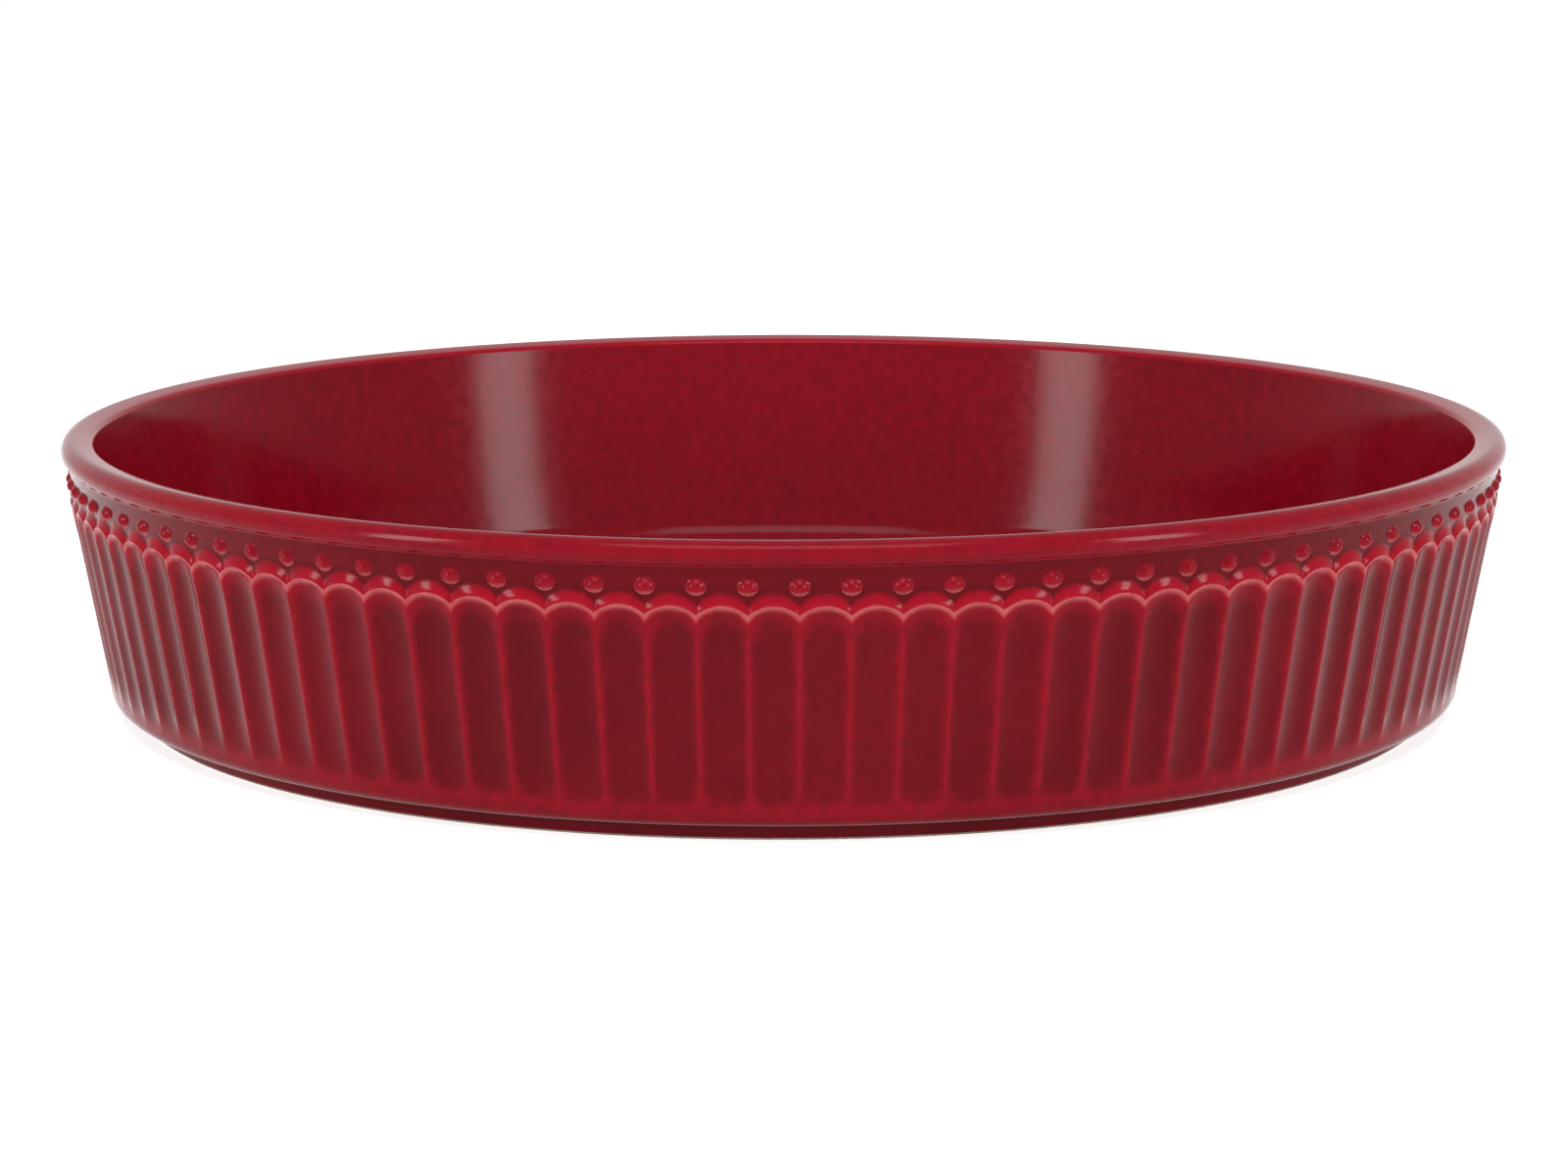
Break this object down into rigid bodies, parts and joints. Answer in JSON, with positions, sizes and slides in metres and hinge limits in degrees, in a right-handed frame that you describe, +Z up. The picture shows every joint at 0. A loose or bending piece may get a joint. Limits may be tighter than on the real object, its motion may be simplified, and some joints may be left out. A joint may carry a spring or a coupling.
{
  "type": "fluted quiche dish",
  "caption": "Round straight-sided baking dish with a fluted, scalloped and beaded outer wall, a half-round rim, a flat floor and a bare foot ring, under a glossy glaze coat.",
  "frame": {"origin": "centre of the foot ring's standing face", "axes": "+Z up along the dish's axis of turning; +X and +Y are alike, and each passes through the middle of a flute"},
  "size_m": [0.285, 0.285, 0.055],
  "materials": {
    "stoneware": "bare fired clay, matte and finely grained",
    "red_glaze": "clear gloss, dark where it pools and paler where it breaks over edges"
  },
  "bodies": {
    "root": {"stoneware_body": "stoneware", "glaze_coat": "red_glaze"}
  },
  "joints": []
}
